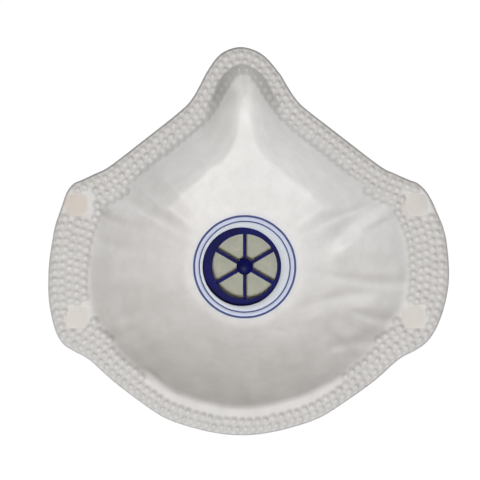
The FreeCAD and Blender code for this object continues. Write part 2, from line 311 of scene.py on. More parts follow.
rimFine = cupRim(2 * cup["columns"])
rimNormal = inwardNormals(rimFine)
rimReach = np.hypot(*rimFine.T)
edgeReach = rimReach - keyed(floorKeys, directionOf(*rimFine.T), 1)
edgeFine = rimFine * (edgeReach / rimReach)[:, None]
edgeNormal = inwardNormals(edgeFine)
edgeAngle = directionOf(*edgeFine.T)
rays = rimFine / rimReach[:, None]


def smoothedRound(values, count):
    # mean over a few neighbours on a closed line
    wide = np.concatenate([values[-count:], values, values[:count]])
    return np.convolve(wide, np.full(2 * count + 1, 1.0 / (2 * count + 1)), mode="valid")


# how squarely each ray meets the cup's edge
edgeFacing = smoothedRound(-(edgeNormal * rays).sum(axis=1), cup["facingSpan"])


def dotCentres():
    # rows follow the outline at even distances, each with its own even spacing and a half step between rows
    draw = np.random.default_rng(dots["seed"])
    found = []
    for row in range(dots["rows"]):
        inset = dots["firstRow"] + row * dots["rowStep"]
        line = rimFine + rimNormal * inset
        loop = np.vstack([line, line[:1]])
        run = np.concatenate([[0.0], np.cumsum(np.hypot(*np.diff(loop, axis=0).T))])
        count = int(round(run[-1] / dots["pitch"]))
        at = (np.arange(count) + 0.5 * (row % 2)) * run[-1] / count
        centre = np.column_stack([np.interp(at, run, loop[:, k]) for k in (0, 1)])
        centre += draw.normal(0.0, dots["scatter"], centre.shape)
        strength = draw.uniform(*dots["strength"], count)
        found.append(np.column_stack([centre, strength, np.full(count, inset)]))
    spots = np.vstack(found)
    x, z = spots[:, 0], spots[:, 1]
    fromRim = signedDistance(x[None], z[None], rimFine, rimNormal)[0][0]
    inside = signedDistance(x[None], z[None], edgeFine, edgeNormal)[0][0]
    onWall = np.interp(directionOf(x, z), [*dots["noseTurn"], *dots["chinTurn"]],
                       [dots["noseOnWall"], dots["onWall"], dots["onWall"], -dots["chinBand"]])
    keep = (fromRim > spots[:, 3] - dots["rowSlack"]) & (inside < onWall)
    for height in (welds["upperZ"], welds["lowerZ"]):
        across = np.maximum(np.abs(np.abs(x) - welds["x"]), np.abs(z - height))
        keep &= across > welds["half"] + welds["dotGap"]
    return spots[keep]


dotSpots = dotCentres()


def dotField(x, z):
    # round pillows, each a squared falloff from its centre, and the gaps: near a dot but not on it, for the
    # pressed web's grey and painted shade
    lift = np.zeros(x.shape)
    gaps = np.zeros(x.shape)
    for row in range(x.shape[0]):
        away = (x[row][:, None] - dotSpots[:, 0]) ** 2 + (z[row][:, None] - dotSpots[:, 1]) ** 2
        pillow = np.clip(1.0 - away / dots["radius"] ** 2, 0.0, 1.0) ** 2
        lift[row] = (pillow * dotSpots[:, 2]).max(axis=1)
        near = 1.0 - ease(np.sqrt(away.min(axis=1)), *dots["gapFade"])
        gaps[row] = near * (1.0 - pillow.max(axis=1) ** 0.5)
    return lift, gaps


def foldField(x, z):
    # each fold is a bell-shaped ridge along a bowed line, fading in and out at its ends
    out = np.zeros(x.shape)
    for x0, z0, x1, z1, bow, width, height in folds:
        length = math.hypot(x1 - x0, z1 - z0)
        ux, uz = (x1 - x0) / length, (z1 - z0) / length
        along = (x - x0) * ux + (z - z0) * uz
        share = along / length
        side = (z - z0) * ux - (x - x0) * uz - 4.0 * bow * share * (1.0 - share)
        fade = ease(share, *foldShape["rise"]) * (1.0 - ease(share, *foldShape["fall"]))
        spread = width * (foldShape["startWidth"] + foldShape["widening"] * np.clip(share, 0, 1))
        out += height * fade * np.exp(-(side / spread) ** 2)
    return out


def softField(x, z):
    # slow unevenness of a soft web: a few waves of seeded direction and length
    draw = np.random.default_rng(softness["seed"])
    out = np.zeros(x.shape)
    for wave in range(softness["waves"]):
        turn = draw.uniform(0, math.pi)
        length = draw.uniform(softness["shortest"], softness["longest"])
        start = draw.uniform(0, 2 * math.pi)
        out += np.sin((x * math.cos(turn) + z * math.sin(turn)) * 2 * math.pi / length + start) * length
    return out / softness["waves"] / softness["flatness"]


def makeGrid(reach, pick):
    # places on the picked rays from the valve's axis: reach is a list of rows, each a distance for every ray
    reach = np.array(reach)
    x, z = reach * rays[pick, 0], reach * rays[pick, 1]
    grid = {"x": x, "z": z, "r": np.hypot(x, z), "angle": directionOf(x, z)}
    straight, nearest = signedDistance(x, z, edgeFine, edgeNormal)
    # round the nose the wall follows its nearest edge, and round the cheeks and chin each ray's own end
    cheek = ease(grid["angle"], *cup["cheek"])
    along = (edgeReach[pick] - reach) * edgeFacing[pick]
    vault = np.maximum(cup["vault"] - cup["vaultSlope"] * np.abs(x), 0.0) ** 2 / (4.0 * cup["vault"])
    straight -= vault * ease(z, *cup["vaultRise"]) * ease(straight, *cup["vaultFoot"])
    grid["edge"] = straight + (along - straight) * cheek
    grid["edgeAngle"] = edgeAngle[nearest] * (1.0 - cheek) + grid["angle"] * cheek
    grid["rim"] = signedDistance(x, z, rimFine, rimNormal)[0]
    grid["out"] = ease(grid["r"], cup["seatRadius"] + foldShape["start"], edgeReach[pick])
    folded = foldField(x, z) * foldShape["strength"] + softField(x, z)
    grid["folds"] = folded * grid["out"] ** foldShape["growth"] * ease(grid["edge"], *foldShape["edgeFade"])
    return grid


def wallDepth(grid, level):
    # Height away from the wearer. Three planes meet: the seat, the floor that falls away from the valve, and
    # the wall that rises from the cup's edge. A level moves each outwards by its own thickness, so layers
    # never cross.
    floorSlope = keyed(floorKeys, grid["angle"], 2)
    lowSlope = keyed(wallKeys, grid["edgeAngle"], 1)
    lowDepth = keyed(wallKeys, grid["edgeAngle"], 2)
    highSlope = keyed(wallKeys, grid["edgeAngle"], 3)
    floor = cup["seatDepth"] + cup["floorStart"] - floorSlope * (grid["r"] - cup["floorRadius"])
    floor += level * np.sqrt(1.0 + floorSlope ** 2)
    turn = lowDepth / lowSlope
    high = lowDepth + highSlope * (grid["edge"] - turn)
    wall = np.where(grid["edge"] < turn, lowSlope * grid["edge"], high)
    wall += level * np.sqrt(1.0 + lowSlope ** 2) * cup["wallSpread"]
    slope = smoothMin(floor, wall, keyed(floorKeys, grid["angle"], 3) + level)
    inner = smoothMin(slope, cup["seatDepth"] + level, cup["seatRound"])
    depth = smoothMax(inner, level * cup["flangePress"], cup["lipRound"] + level)
    depth -= grid["folds"]
    return depth + cup["edgeRoll"] * (1.0 - ease(grid["rim"], *cup["edgeRollSpan"]))


def weldPress(grid):
    # 1 on the four rounded squares where the headbands are welded on
    out = np.zeros(grid["x"].shape)
    for height in (welds["upperZ"], welds["lowerZ"]):
        dx = np.abs(np.abs(grid["x"]) - welds["x"])
        across = (dx ** 4 + (grid["z"] - height) ** 4) ** 0.25
        pressed = 1.0 - ease(across, welds["half"] - welds["edgeInner"], welds["half"] + welds["edgeOuter"])
        out = np.maximum(out, pressed)
    return out


def ringRelief(grid):
    # two grooves round the valve with a bead between them
    r = grid["r"]
    middle = (rings["inner"] + rings["outer"]) / 2.0
    groove = sum(np.exp(-((r - rings[name]) / rings["groove"]) ** 2) for name in ("inner", "outer"))
    return rings["depth"] * groove - rings["bead"] * np.exp(-((r - middle) / rings["beadWidth"]) ** 2)


def leaned(grid, x):
    # the soft wall leans sideways by height, most at the outline
    return x + np.interp(grid["z"], leanKeys[:, 0], leanKeys[:, 1]) * grid["out"]


def putMesh(name, points, faces):
    # makes a smooth object whose place is in its mesh, in metres
    mesh = bpy.data.meshes.new(name)
    mesh.from_pydata((np.asarray(points) * mm).tolist(), [], faces)
    mesh.update()
    mesh.shade_smooth()
    made = bpy.data.objects.new(name, mesh)
    bpy.context.scene.collection.objects.link(made)
    return made


def stripFaces(countA, startA, countB, startB):
    # quads between two closed rings, or three triangles a step where one has twice the other's points
    if countA == countB:
        i = np.arange(countA)
        j = (i + 1) % countA
        return np.column_stack([startA + i, startA + j, startB + j, startB + i]).tolist()
    if countA < countB:
        i = np.arange(countA)
        j = (i + 1) % countA
        f0, f1, f2 = startB + 2 * i, startB + 2 * i + 1, startB + 2 * j
        parts = [(startA + i, f1, f0), (startA + i, startA + j, f1), (startA + j, f2, f1)]
        return [face for part in parts for face in np.column_stack(part).tolist()]
    return [face[::-1] for face in stripFaces(countB, startB, countA, startA)]


def closeRings(name, ringList):
    # a tube-like skin through closed rings of points, back to the first, with its faces outwards
    starts = np.concatenate([[0], np.cumsum([len(r) for r in ringList])])
    faces = []
    for k in range(len(ringList)):
        m = (k + 1) % len(ringList)
        faces += stripFaces(len(ringList[k]), int(starts[k]), len(ringList[m]), int(starts[m]))
    points = np.vstack(ringList)
    first = np.array([face[:3] for face in faces])
    a, b, c = (points[first[:, k]] for k in range(3))
    if np.einsum("ij,ij->i", a, np.cross(b, c)).sum() < 0:
        faces = [face[::-1] for face in faces]
    return putMesh(name, points, faces)


def holeReach(pick):
    # distance along each ray to the round cut, whose middle is a little off the axis
    along = -rays[pick, 0] * cup["holeShift"]
    return along + np.sqrt(along ** 2 + cup["holeRadius"] ** 2 - cup["holeShift"] ** 2)


def seatRows(pick, places):
    # the cut itself, then circles round the valve's axis that are pushed out where the cut would cross them
    hole = holeReach(pick)
    return [hole] + [np.maximum(np.full(len(hole), place), hole + gridRows["holeGap"]) for place in places]


def spanRows(low, high, shares):
    # rows at set shares of the way from one line to another
    return [low + (high - low) * share for share in shares]


def evenShares(count):
    # equal steps up to 1, without the 0
    return np.linspace(0, 1, count)[1:]


def cupGrid(pick, seatPlaces, count):
    # from the cut over the seat and up to the cup's edge
    seat = cup["seatRadius"]
    wallRows = spanRows(seat, edgeReach[pick], evenShares(count))
    return makeGrid(seatRows(pick, [*seatPlaces, seat]) + wallRows, pick)


print("grids: working out the wall's places")
everyRay = np.arange(2 * cup["columns"])
halfRays = everyRay[::2]
gridFineCup = cupGrid(halfRays, gridRows["fineSeat"], gridRows["fineCup"])
gridFineFlange = makeGrid(spanRows(edgeReach, rimReach, evenShares(gridRows["fineFlange"])), everyRay)
gridCup = cupGrid(halfRays, gridRows["plainSeat"], gridRows["plainCup"])
gridFlange = makeGrid(spanRows(edgeReach[halfRays], rimReach[halfRays], gridRows["plainFlange"]), halfRays)
print("dots on the flange:", len(dotSpots))


def ringsOf(grids, depths):
    # every row of the grids as a closed ring of points
    return [np.column_stack([x, y, z]) for grid, depth in zip(grids, depths)
            for x, y, z in zip(leaned(grid, grid["x"]), depth, grid["z"])]


def plainSkin(level):
    # the wall at one level, without dots
    return ringsOf((gridCup, gridFlange), [wallDepth(grid, level) for grid in (gridCup, gridFlange)])


def detailedSkin(level, facing):
    # facing is 1 on the wearer's side, where the dots stand up, and -1 outside, where they stand lower
    fine = (gridFineCup, gridFineFlange)
    fields = [dotField(grid["x"], grid["z"]) for grid in fine]
    share = 1.0 if facing > 0 else -dots["outside"]
    depths = [wallDepth(grid, level) - share * dots["height"] * field[0] for grid, field in zip(fine, fields)]
    depths[1] += facing * welds["sink"] * weldPress(gridFineFlange)
    if facing > 0:
        depths[0] += ringRelief(gridFineCup)
    return ringsOf(fine, depths), [row for field in fields for row in field[1]]


# Inner and outer level of each web layer over the wearer's side, from the seat height of its CAD node.
levels = {}
below = 0.0
for node in ("inner_facing", "electret_filter", "prefilter", "support_shell", "outer_cover"):
    top = boxMm(node)[1][1] - cup["seatDepth"]
    levels[node] = (below, top)
    below = top + layerGap


def markPoints(made, name, rows, before, after):
    # a value for every point of the detailed side, and none elsewhere
    values = np.concatenate([np.zeros(before), *rows, np.zeros(after)]).astype(np.float32)
    made.data.attributes.new(name, "FLOAT", "POINT").data.foreach_set("value", values)


def edgeSealShadeRows():
    # 1 on the flange's last edge, where all layers are welded into one; it carries the seal's grey and
    # painted shade
    fine = (gridFineCup, gridFineFlange)
    return [row for grid in fine for row in 1.0 - ease(grid["rim"], *cup["edgeSealShade"])]


def innerFacing():
    front, gaps = detailedSkin(0.0, 1)
    back = plainSkin(levels["inner_facing"][1])
    made = closeRings("innerFacing", front + back[::-1])
    rest = sum(len(row) for row in back)
    # the gaps between dots, greyer where the web is pressed and with painted shade in their hollows, and the
    # flange's last edge, with the seal's grey and painted shade towards the top
    markPoints(made, "gapPressAndShade", gaps, 0, rest)
    markPoints(made, "edgeSealAndShade", edgeSealShadeRows(), 0, rest)
    return made


def outerCover():
    inside = plainSkin(levels["outer_cover"][0])
    front, gaps = detailedSkin(levels["outer_cover"][1], -1)
    made = closeRings("outerCover", inside + front[::-1])
    rest = sum(len(row) for row in inside)
    markPoints(made, "gapPressAndShade", gaps[::-1], rest, 0)
    markPoints(made, "edgeSealAndShade", edgeSealShadeRows()[::-1], rest, 0)
    return made


def midLayer(name, node):
    # a plain layer between its two levels
    low, high = levels[node]
    return closeRings(name, plainSkin(low) + plainSkin(high)[::-1])


clip = {
    "rays": 136,                 # reaches this many rays to each side of the nose
    "every": 4,                  # and has a column at every fourth
    "width": 5.0,
    "thickness": 0.8,
    "edgeGap": 4.0,
    "across": 9,
    "lift": 0.15,
    "edge": 0.22,
    "searchShare": 0.6,          # share of the way to the seat that is searched for the strip's rows
    "searchSteps": 120,
}


def noseClip():
    # a strip bent over the nose: each column starts a set distance up the outer side from the cup's edge
    pick = np.arange(-clip["rays"], clip["rays"] + 1, clip["every"])
    shares = np.linspace(0, clip["searchShare"], clip["searchSteps"])
    reach = spanRows(edgeReach[pick], cup["seatRadius"], shares)
    grid = makeGrid(reach, pick)
    depth = wallDepth(grid, levels["outer_cover"][1])
    surface = np.stack([leaned(grid, grid["x"]), depth, grid["z"]], axis=2)
    steps = np.linalg.norm(np.diff(surface, axis=0), axis=2)
    run = np.concatenate([np.zeros((1, len(pick))), np.cumsum(steps, axis=0)])
    rowsWanted = clip["edgeGap"] + clip["width"] * np.linspace(0, 1, clip["across"])
    column = np.arange(len(pick))
    lines = []
    for wanted in rowsWanted:
        k = np.maximum((run > wanted).argmax(axis=0), 1)
        share = ((wanted - run[k - 1, column]) / (run[k, column] - run[k - 1, column]))[:, None]
        lines.append(surface[k - 1, column] * (1 - share) + surface[k, column] * share)
    sheet = np.array(lines)
    along = np.gradient(sheet, axis=1)
    across = np.gradient(sheet, axis=0)
    normal = np.cross(along, across)
    normal /= np.linalg.norm(normal, axis=2)[:, :, None]
    normal *= np.sign(normal[:, :, 1:2].mean())
    low = sheet + normal * clip["lift"]
    high = low + normal * clip["thickness"]
    count = len(pick)
    points = np.vstack([low.reshape(-1, 3), high.reshape(-1, 3)])
    size = len(rowsWanted) * count
    i, j = np.meshgrid(np.arange(len(rowsWanted) - 1), np.arange(count - 1), indexing="ij")
    a = (i * count + j).ravel()
    quad = np.column_stack([a, a + 1, a + count + 1, a + count])
    faces = quad[:, ::-1].tolist() + (quad + size).tolist()
    loop = np.concatenate([np.arange(count), (np.arange(1, len(rowsWanted)) * count + count - 1),
                           (len(rowsWanted) - 1) * count + np.arange(count - 2, -1, -1),
                           np.arange(len(rowsWanted) - 2, 0, -1) * count])
    after = np.roll(loop, -1)
    faces += np.column_stack([loop, after, after + size, loop + size]).tolist()
    made = putMesh("noseClip", points, faces)
    bevel = made.modifiers.new("edges", "BEVEL")
    bevel.width = clip["edge"] * mm
    bevel.segments = 2
    bevel.limit_method = "ANGLE"
    return made


strap = {
    "width": 8.0,
    "thickness": 0.9,
    "tabInner": 54.2,
    "tabLift": 0.12,
    "tabSteps": 14,
    "tabGap": 0.1,               # the tab's last step ends this far before the bend
    "bend": 1.5,
    "bendSteps": 12,
    "archStart": 0.02,
    "archSteps": 90,
    "around": 44,
    "acrossPower": 0.55,         # powers that turn the section's ellipse into a rounded rectangle
    "throughPower": 0.30,
    "ribs": 7,
    "rib": 0.10,
    "sharpAngle": 50,
    "uvPerMetre": 100,
}


def headband(name, node, height):
    # One flat elastic band: a tab on the flange, a tight bend, half an ellipse in front and the same on the
    # other side. Its section is a rounded rectangle whose faces carry fine lengthwise ribs.
    low, high = boxMm(node)
    half = strap["thickness"] / 2.0
    a = high[0] - half
    root, b = low[1], high[1] - low[1] - half
    tabY = coverHigh[1] - cup["seatDepth"]
    tabY = tabY * cup["flangePress"] + half + strap["tabLift"]
    bend = strap["bend"]
    turn = np.linspace(0, math.pi / 2, strap["bendSteps"])
    tabX = np.linspace(strap["tabInner"], a - bend - strap["tabGap"], strap["tabSteps"])
    tab = np.column_stack([tabX, np.full(len(tabX), tabY)])
    corner = np.column_stack([a - bend + bend * np.sin(turn), tabY + bend - bend * np.cos(turn)])
    sweep = np.linspace(strap["archStart"], math.pi / 2, strap["archSteps"])
    arch = np.column_stack([a * np.cos(sweep), root + b * np.sin(sweep)])
    right = np.vstack([tab, corner, arch])
    path = np.vstack([right, (right * (-1, 1))[-2::-1]])
    along = np.gradient(path, axis=0)
    along /= np.hypot(*along.T)[:, None]
    side = np.column_stack([along[:, 1], -along[:, 0]])
    count = strap["around"]
    around = np.linspace(0, 2 * math.pi, count, endpoint=False)
    cosA, sinA = np.cos(around), np.sin(around)
    w = np.sign(cosA) * np.abs(cosA) ** strap["acrossPower"] * strap["width"] / 2.0
    t = np.sign(sinA) * np.abs(sinA) ** strap["throughPower"] * half
    t = t * (1.0 - strap["rib"] * (1.0 - np.cos(w / strap["width"] * 2 * math.pi * strap["ribs"])))
    run = np.concatenate([[0.0], np.cumsum(np.hypot(*np.diff(path, axis=0).T))])
    x = path[:, 0:1] + side[:, 0:1] * t
    y = path[:, 1:2] + side[:, 1:2] * t
    z = height + np.broadcast_to(w, x.shape)
    points = np.stack([x, y, z], axis=2).reshape(-1, 3)
    rows = len(path)
    i, j = np.meshgrid(np.arange(rows - 1), np.arange(count), indexing="ij")
    n = (j + 1) % count
    faces = np.stack([i * count + j, i * count + n, (i + 1) * count + n, (i + 1) * count + j], axis=2)
    faces = faces.reshape(-1, 4).tolist()
    faces += [list(range(count))[::-1], list(range((rows - 1) * count, rows * count))]
    first = np.array([face[:3] for face in faces[:-2]])
    p, q, r = (points[first[:, k]] for k in range(3))
    middle = (p + r) / 2.0
    out = np.cross(q - p, r - p)
    centre = np.column_stack([path[:, 0], path[:, 1], np.full(rows, height)])[first[:, 0] // count]
    if np.einsum("ij,ij->i", out, middle - centre).sum() < 0:
        faces = [face[::-1] for face in faces]
    made = putMesh(name, points, faces)
    made.data.set_sharp_from_angle(angle=math.radians(strap["sharpAngle"]))
    uvLayer = made.data.uv_layers.new(name="along")
    corners = np.empty(len(made.data.loops), dtype=np.int32)
    made.data.loops.foreach_get("vertex_index", corners)
    uv = np.column_stack([run[corners // count], np.tile(w, rows)[corners]]) * mm * strap["uvPerMetre"]
    uvLayer.data.foreach_set("uv", uv.ravel().astype(np.float32))
    return made


perMetre = 1000.0            # millimetres in a metre


class Shade:
    # one socket of a material's nodes: + - * write Math nodes, and node() adds any other kind
    def __init__(self, tree, socket):
        self.tree = tree
        self.socket = socket

    def node(self, kind, settings=None, inputs=None, output=0):
        made = self.tree.nodes.new("ShaderNode" + kind)
        for name, value in (settings or {}).items():
            setattr(made, name, value)
        for name, value in (inputs or {}).items():
            if isinstance(value, Shade):
                self.tree.links.new(value.socket, made.inputs[name])
            else:
                made.inputs[name].default_value = value
        return Shade(self.tree, made.outputs[output])

    def math(self, operation, a, b=0.0):
        return self.node("Math", {"operation": operation}, {0: a, 1: b})

    def __add__(self, other):
        return self.math("ADD", self, other)

    def __sub__(self, other):
        return self.math("SUBTRACT", self, other)

    def __rsub__(self, other):
        return self.math("SUBTRACT", other, self)

    def __mul__(self, other):
        return self.math("MULTIPLY", self, other)

    __radd__ = __add__
    __rmul__ = __mul__

    def size(self):
        return self.math("ABSOLUTE", self)

    def above(self, low, high):
        # 0 at low, 1 at high, eased between
        return self.node("MapRange", {"interpolation_type": "SMOOTHSTEP"}, {0: self, 1: low, 2: high})

    def past(self, span):
        # the same for a length, over a span in millimetres
        return self.above(span[0] * mm, span[1] * mm)

    def noise(self, place, scale, detail=3.0, rough=0.5):
        inputs = {"Vector": place, "Scale": scale, "Detail": detail, "Roughness": rough}
        return self.node("TexNoise", None, inputs)

    def mix(self, factor, a, b):
        # the Mix node's colour sockets are its seventh and eighth, and its colour output the third
        return self.node("Mix", {"data_type": "RGBA"}, {0: factor, 6: a, 7: b}, 2)

    def stretched(self, place, scale, turn=(0.0, 0.0, 0.0)):
        return self.node("Mapping", None, {"Vector": place, "Scale": scale, "Rotation": turn})

    def marked(self, name):
        # a value that the mesh carries for every point
        return self.node("Attribute", {"attribute_name": name}, None, 2)


def startMaterial(name, **constants):
    made = bpy.data.materials.new(name)
    made.use_nodes = True
    tree = made.node_tree
    shader = tree.nodes["Principled BSDF"]
    for socket, value in constants.items():
        shader.inputs[socket.replace("_", " ")].default_value = value
    place = Shade(tree, tree.nodes.new("ShaderNodeTexCoord").outputs["Object"])
    return made, shader, place


def feed(shader, place, **values):
    for socket, value in values.items():
        place.tree.links.new(value.socket, shader.inputs[socket.replace("_", " ")])


def bumped(place, height, strength, distance):
    return place.node("Bump", None, {"Height": height, "Strength": strength, "Distance": distance * mm})


def xyz(place):
    split = place.node("SeparateXYZ", None, {0: place})
    return [Shade(place.tree, split.socket.node.outputs[k]) for k in range(3)]


fibre = {"turns": (0.3, 1.4, 2.5), "lengthwise": 0.09, "detail": 3.0, "rough": 0.6}


def fibres(place, scale):
    # fibres laid three ways: noise stretched eleven to one along three directions, and the brightest kept
    lines = None
    for turn in fibre["turns"]:
        stretch = place.stretched(place, (scale, scale, scale * fibre["lengthwise"]), (0.0, turn, 0.0))
        one = place.noise(stretch, 1.0, fibre["detail"], fibre["rough"])
        lines = one if lines is None else place.math("MAXIMUM", lines, one)
    return lines


def webTones(place, look):
    # fibre lines, cloudy density, and the colour mixed between shade and white by the two together
    lines = fibres(place, look["fibreScale"])
    cloud = place.noise(place, look["cloudScale"], 4.0, 0.6)
    tone = (lines * look["lineShare"] + cloud * look["cloudShare"]).above(*look["tones"])
    return lines, cloud, place.mix(tone, look["shade"], look["white"])


# In the looks below, scales are per metre, spans are millimetres or a noise's values, and a share is how far
# a colour or a noise counts.
facingLook = {
    "white": (0.80, 0.792, 0.782, 1),
    "shade": (0.725, 0.715, 0.70, 1),
    "fibreScale": 2600.0,
    "cloudScale": 160.0,
    "lineShare": 0.5,
    "cloudShare": 0.9,
    "tones": (0.45, 0.95),
    # painted shade between the dots, with the pressed web's own grey
    "gap": (0.50, 0.49, 0.475, 1),
    "gapShadeShare": 0.62,
    "noseZ": (53.0, 61.0),       # painted shade: the nose is greyer from these heights, off the flange's plane
    "noseY": (0.2, 3.0),
    "noseShare": 0.36,
    "footZ": (62.0, 67.0),       # and its foot greyer again with painted shade, in the middle and low on the wall
    "footY": (-0.3, 1.0),
    "footTop": (4.0, 10.0),
    "footX": (5.0, 13.0),
    "footShare": 0.30,
    # the flange's last edge: the seal's own grey everywhere, and painted shade that grows towards the top
    "edgeSealShade": (0.30, 0.30, 0.31, 1),
    "edgeShadeZ": (10.0, 34.0),
    "edgeShadeRise": 0.55,
    "sealedLeast": 0.12,
    "insideY": (30.0, 33.0),
    "lilac": (0.56, 0.61, 0.69, 1),
    "lilacEdge": (16.5, 20.5),
    "lilacShare": 0.8,
    "paleInk": (0.40, 0.48, 0.84, 1),
    "beadEdge": (0.35, 0.75),
    "beadShare": 0.30,
    "ink": (0.028, 0.045, 0.20, 1),
    "inkWidths": {"inner": 0.26, "outer": 0.40},
    "inkEdge": (0.6, 1.2),       # shares of the width over which a line fades
    "inkShare": 0.95,
    "wobbleScale": 300.0,
    "wobble": 0.16,
    "warm": (0.70, 0.62, 0.54, 1),
    "warmShare": 0.34,
    "warmMore": 0.32,
    "patchEdge": (-1.0, 0.9),    # from the weld's half width
    "patchTop": (3.0, 5.0),
    "corner": 0.7,               # 1 would make the patches round and 0 square
    "upperLeftX": (-10.0, 10.0),
    "upperLeftZ": (-5.0, 5.0),
}


def facingWeb():
    # white nonwoven: fibre lines, cloudy density, beige weld squares, blue showing at the ring welds, painted
    # shade
    look = facingLook
    made, shader, place = startMaterial(
        "facingWeb", Sheen_Weight=0.15, Sheen_Roughness=0.5, Specular_IOR_Level=0.25)
    x, y, z = xyz(place)
    lines, cloud, colour = webTones(place, look)
    # painted shade: greyer towards the nose and on the foot of its wall, between the dots most of all
    nosePaintedShade = z.past(look["noseZ"]) * y.past(look["noseY"]) * look["noseShare"]
    foot = z.past(look["footZ"]) * y.past(look["footY"]) * (1.0 - y.past(look["footTop"]))
    foot = foot * (1.0 - x.size().past(look["footX"]))
    nosePaintedShade = foot * look["footShare"] + nosePaintedShade
    # painted shade in the gaps between the dots, with the pressed web's own grey
    gap = place.marked("gapPressAndShade")
    colour = place.mix(gap * (nosePaintedShade + look["gapShadeShare"]) + nosePaintedShade, colour, look["gap"])
    # the flange's last edge: the seal's own grey, and painted shade that grows towards the top
    edgeSealShade = z.past(look["edgeShadeZ"]) * look["edgeShadeRise"] + look["sealedLeast"]
    colour = place.mix(place.marked("edgeSealAndShade") * edgeSealShade, colour, look["edgeSealShade"])
    # round the valve: a pale lilac disc, a blue bead between the welds and a dark wavering line on each weld
    away = place.math("SQRT", x * x + z * z) * perMetre
    inside = y.past(look["insideY"])
    lilac = (1.0 - away.above(*look["lilacEdge"])) * inside
    colour = place.mix(lilac * look["lilacShare"], colour, look["lilac"])
    middle = (rings["inner"] + rings["outer"]) / 2.0
    bead = 1.0 - (away - middle).size().above(*look["beadEdge"])
    colour = place.mix(bead * inside * look["beadShare"], colour, look["paleInk"])
    for ring, width in look["inkWidths"].items():
        wobble = place.noise(place, look["wobbleScale"], 2.0) * look["wobble"] - look["wobble"] / 2.0
        low, high = (width * share for share in look["inkEdge"])
        line = 1.0 - (away - rings[ring] + wobble).size().above(low, high)
        colour = place.mix(line * inside * look["inkShare"], colour, look["ink"])
    for height in (welds["upperZ"], welds["lowerZ"]):
        dx = (x.size() - welds["x"] * mm).size() * perMetre
        dz = (z - height * mm).size() * perMetre
        across = place.math("MAXIMUM", dx, dz)
        corner = place.math("SQRT", dx * dx + dz * dz) * look["corner"] + across * (1.0 - look["corner"])
        patch = 1.0 - corner.above(*(welds["half"] + reach for reach in look["patchEdge"]))
        patch = patch * (1.0 - y.past(look["patchTop"]))
        # the weld on the upper -X side is browner than the others
        upperLeft = (1.0 - x.past(look["upperLeftX"])) * z.past(look["upperLeftZ"])
        colour = place.mix(patch * (upperLeft * look["warmMore"] + look["warmShare"]), colour, look["warm"])
    rough = cloud * 0.15 + 0.80
    relief = lines * 0.6 + cloud * 0.4
    feed(shader, place, Base_Color=colour, Roughness=rough, Normal=bumped(place, relief, 0.35, 0.10))
    return made


coverLook = {
    "white": (0.87, 0.87, 0.865, 1),
    "shade": (0.80, 0.80, 0.80, 1),
    "fibreScale": 2200.0,
    "cloudScale": 120.0,
    "lineShare": 0.5,
    "cloudShare": 0.9,
    "tones": (0.45, 0.95),
    "bond": (0.70, 0.71, 0.72, 1),
    "bondLength": 1.1,           # of the two crossing waves, along x + z and x - z
    "bondEdge": (0.35, 0.8),
    "bondShare": 0.25,
    # painted shade between the dots, with the pressed web's own grey
    "gap": (0.55, 0.55, 0.55, 1),
    "gapShadeShare": 0.5,
}


def coverWeb():
    # smoother spunbond cover: point-bonded with tiny pressed diamonds between the fibres
    look = coverLook
    made, shader, place = startMaterial("coverWeb", Sheen_Weight=0.12, Specular_IOR_Level=0.3)
    x, z = xyz(place)[::2]
    lines, cloud, colour = webTones(place, look)
    wave = 2 * math.pi / (look["bondLength"] * mm)
    bond = place.math("SINE", (x + z) * wave) * place.math("SINE", (x - z) * wave)
    pressed = bond.above(*look["bondEdge"])
    colour = place.mix(pressed * look["bondShare"], colour, look["bond"])
    # painted shade in the gaps between the dots, with the pressed web's own grey
    colour = place.mix(place.marked("gapPressAndShade") * look["gapShadeShare"], colour, look["gap"])
    relief = lines * 0.5 + cloud * 0.3 - pressed * 0.5
    feed(shader, place, Base_Color=colour, Roughness=0.72 + cloud * 0.2,
         Normal=bumped(place, relief, 0.4, 0.12))
    return made


def filterWeb(name, low, high, scale):
    # felted web seen at the cut edges: fibre lines over a cloudy density
    look = {"shade": low, "white": high, "fibreScale": scale, "cloudScale": 400.0, "lineShare": 0.6,
            "cloudShare": 0.7, "tones": (0.4, 0.9)}
    made, shader, place = startMaterial(name, Specular_IOR_Level=0.2)
    lines, cloud, colour = webTones(place, look)
    feed(shader, place, Base_Color=colour, Roughness=0.85 + cloud * 0.1,
         Normal=bumped(place, lines, 0.5, 0.15))
    return made


plastic = {"mottle": 220.0, "speck": 2200.0, "scratch": (900.0, 60.0, 900.0), "scratchTurn": (0.2, 0.5, 0.1)}


def navyPlastic(name, deep, bright, gloss):
    # moulded plastic: fine flow mottling, faint scratches in the gloss and a very light orange peel
    made, shader, place = startMaterial(name, Specular_IOR_Level=0.07, IOR=1.45)
    mottle = place.noise(place, plastic["mottle"], 4.0, 0.6)
    speck = place.noise(place, plastic["speck"], 2.0, 0.5)
    colour = place.mix((mottle * 0.8 + speck * 0.25).above(0.3, 0.75), deep, bright)
    scratch = place.noise(place.stretched(place, plastic["scratch"], plastic["scratchTurn"]), 1.0, 2.0)
    rough = scratch * 0.16 + mottle * 0.10 + gloss
    relief = mottle + speck * 0.3
    feed(shader, place, Base_Color=colour, Roughness=rough, Normal=bumped(place, relief, 0.12, 0.05))
    return made


rubber = {"mottle": 260.0, "dust": 1500.0, "dark": (0.37, 0.38, 0.30, 1), "pale": (0.47, 0.47, 0.385, 1)}


